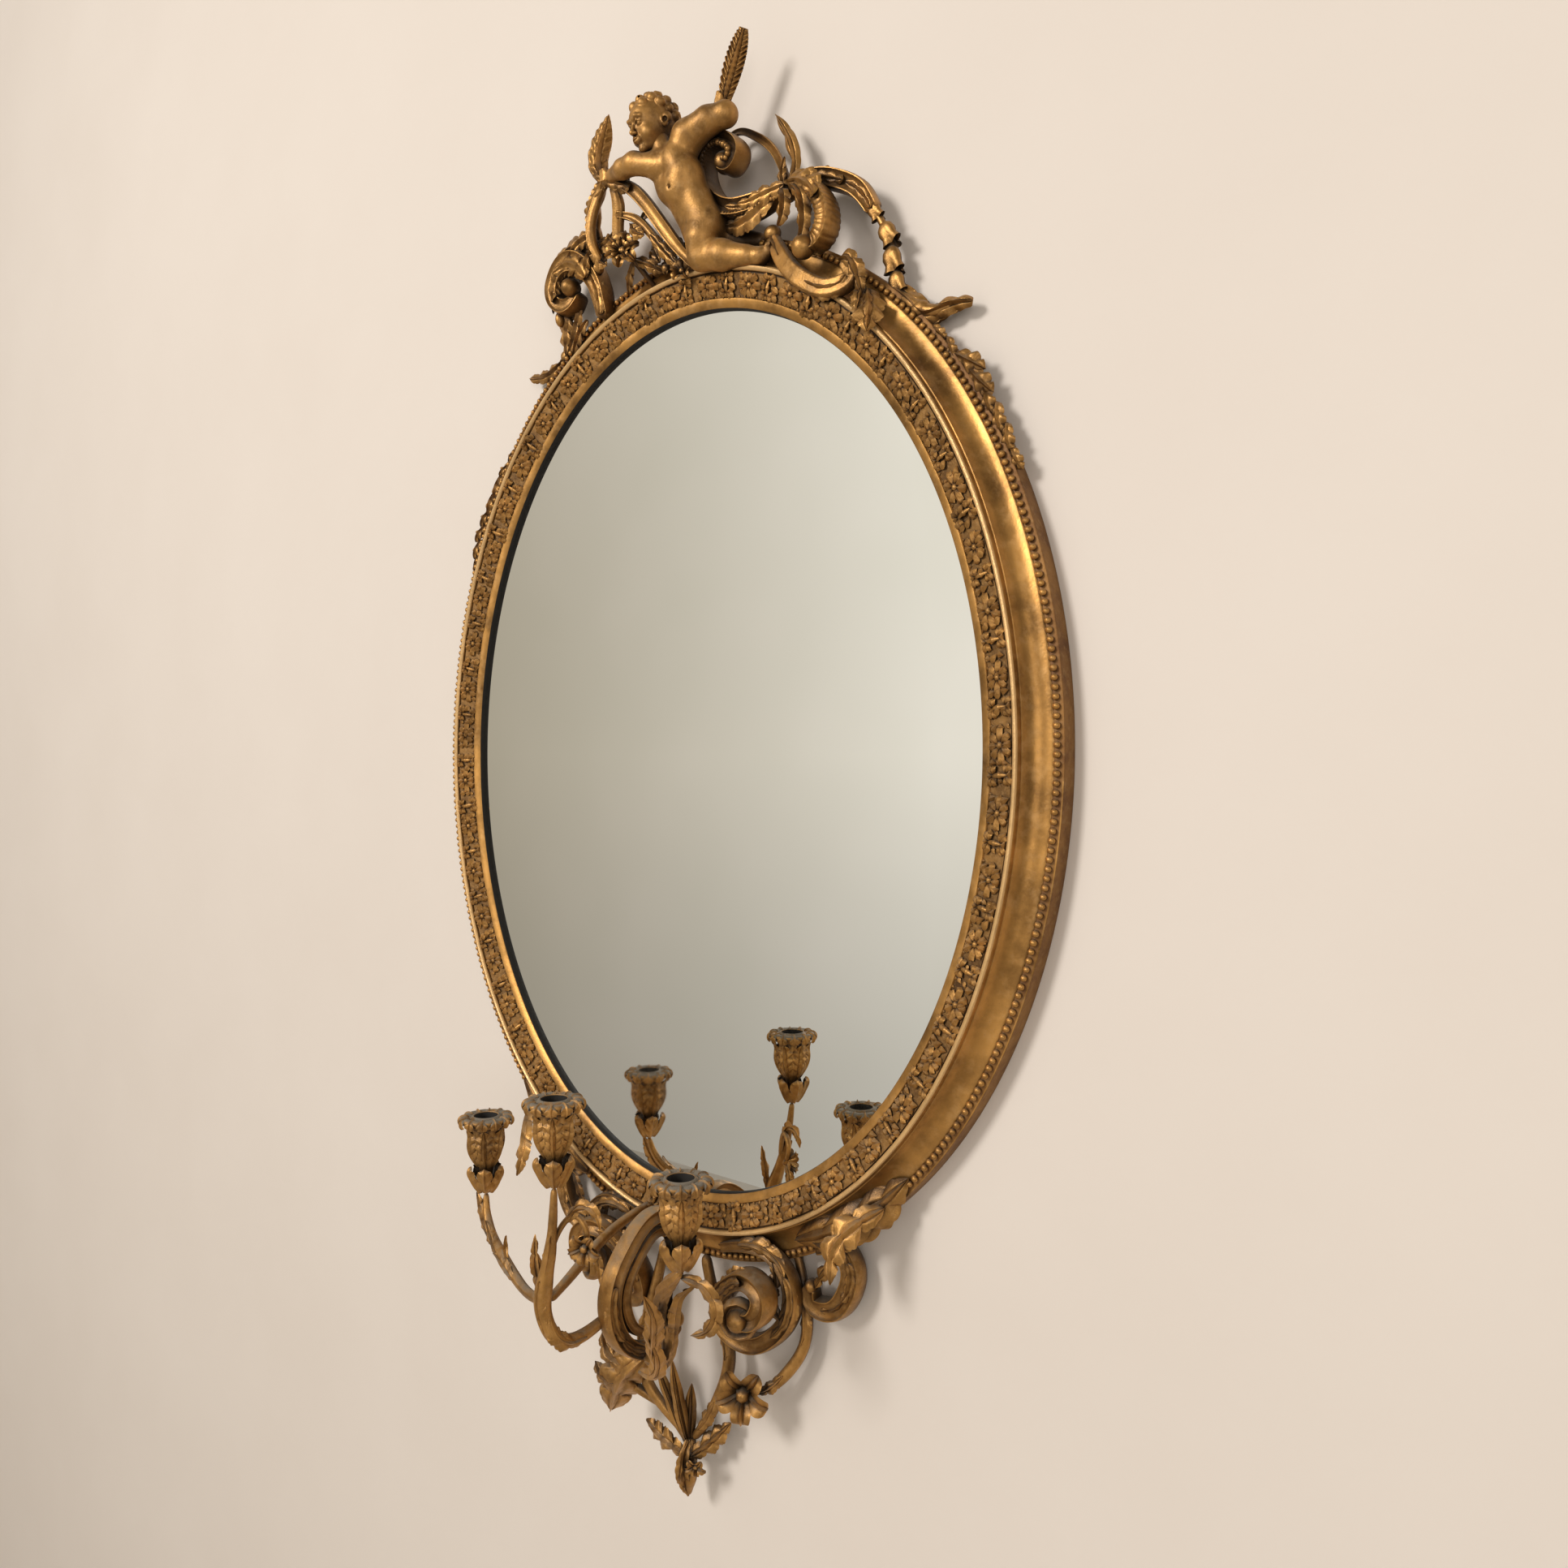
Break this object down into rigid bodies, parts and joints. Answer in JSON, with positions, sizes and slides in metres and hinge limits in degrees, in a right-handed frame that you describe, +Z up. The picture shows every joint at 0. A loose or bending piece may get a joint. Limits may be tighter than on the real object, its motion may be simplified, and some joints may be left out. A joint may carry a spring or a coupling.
{
  "type": "girandole wall mirror",
  "caption": "Oval wall mirror in a gilded frame with a scrolled crest, a kneeling putto, a leafy apron and candle arms.",
  "frame": {"origin": "centre of the oval, on the plane of the wall that the frame's back lies on", "axes": "+X along the wall to the right of someone who looks at the mirror, +Y into the wall, +Z up"},
  "size_m": [0.742, 0.203, 1.3052],
  "materials": {
    "gilt_frame": "aged gold leaf over gesso on softwood",
    "gilt_band": "gilded composition ornament",
    "gilt_bead": "gilded composition beads",
    "gilt_carving": "aged gold leaf on carved wood and composition",
    "gilt_figure": "aged gold leaf on a modelled figure",
    "gilt_arm": "gilded composition over an iron core",
    "gilt_pan": "gilded brass, dusty on top",
    "mirror": "silvered plate glass",
    "raw_wood": "bare softwood, aged",
    "steel": "dull steel hardware"
  },
  "bodies": {
    "frame": {"apron_centre_stem": "gilt_carving", "apron_flower": "gilt_carving", "apron_leaf_left": "gilt_carving", "apron_leaf_right": "gilt_carving", "apron_left_leaf": "gilt_carving", "apron_left_stem": "gilt_carving", "apron_scroll_left": "gilt_carving", "apron_scroll_right": "gilt_carving", "apron_stem_left": "gilt_carving", "apron_stem_right": "gilt_carving", "apron_volute_left": "gilt_carving", "apron_volute_right": "gilt_carving", "arm_left": "gilt_arm", "arm_right": "gilt_arm", "arm_stay": "gilt_arm", "arm_tendril": "gilt_arm", "arm_trunk": "gilt_arm", "backboard": "raw_wood", "backboard_blocks": "raw_wood", "bead_moulding": "gilt_bead", "bracket_scroll": "gilt_arm", "crest_cascade": "gilt_carving", "crest_curled_leaf": "gilt_carving", "crest_drop_leaf": "gilt_carving", "crest_flowers": "gilt_carving", "crest_garland": "gilt_carving", "crest_left_leaves": "gilt_carving", "crest_left_volute": "gilt_carving", "crest_lower_scroll": "gilt_carving", "crest_sash": "gilt_carving", "crest_shell_scroll": "gilt_carving", "crest_spike_leaf": "gilt_carving", "crest_spur_left": "gilt_carving", "crest_spur_right": "gilt_carving", "crest_tendril": "gilt_carving", "cup_centre": "gilt_arm", "cup_left": "gilt_arm", "cup_right": "gilt_arm", "edge_leaves_left": "gilt_carving", "edge_leaves_right": "gilt_carving", "feather_leaf": "gilt_carving", "frame_carcass": "gilt_frame", "hanger_plate_left": "steel", "hanger_plate_right": "steel", "hanger_screws": "steel", "mirror_glass": "mirror", "ornament_band": "gilt_band", "palm_leaf": "gilt_carving", "pendant_bud": "gilt_carving", "pendant_leaves": "gilt_carving", "putto_head": "gilt_figure", "putto_left_arm": "gilt_figure", "putto_legs": "gilt_figure", "putto_right_arm": "gilt_figure", "putto_torso": "gilt_figure"},
    "hanger_ring_left": {"hanger_ring_left": "steel"},
    "hanger_ring_right": {"hanger_ring_right": "steel"},
    "nozzle_centre": {"nozzle_centre": "gilt_pan"},
    "nozzle_left": {"nozzle_left": "gilt_pan"},
    "nozzle_right": {"nozzle_right": "gilt_pan"}
  },
  "joints": [
    {"name": "left_hanger_swing", "type": "hinge", "parent": "frame", "child": "hanger_ring_left", "pos_m": [-0.3132, -0.0042, 0.18], "axis": [1, 0, 0], "range_deg": [0, 180]},
    {"name": "right_hanger_swing", "type": "hinge", "parent": "frame", "child": "hanger_ring_right", "pos_m": [0.3132, -0.0042, 0.18], "axis": [1, 0, 0], "range_deg": [0, 180]},
    {"name": "left_nozzle_lift", "type": "slide", "parent": "frame", "child": "nozzle_left", "axis": [0, 0, 1], "range_m": [0, 0.03]},
    {"name": "centre_nozzle_lift", "type": "slide", "parent": "frame", "child": "nozzle_centre", "axis": [0, 0, 1], "range_m": [0, 0.03]},
    {"name": "right_nozzle_lift", "type": "slide", "parent": "frame", "child": "nozzle_right", "axis": [0, 0, 1], "range_m": [0, 0.03]}
  ]
}
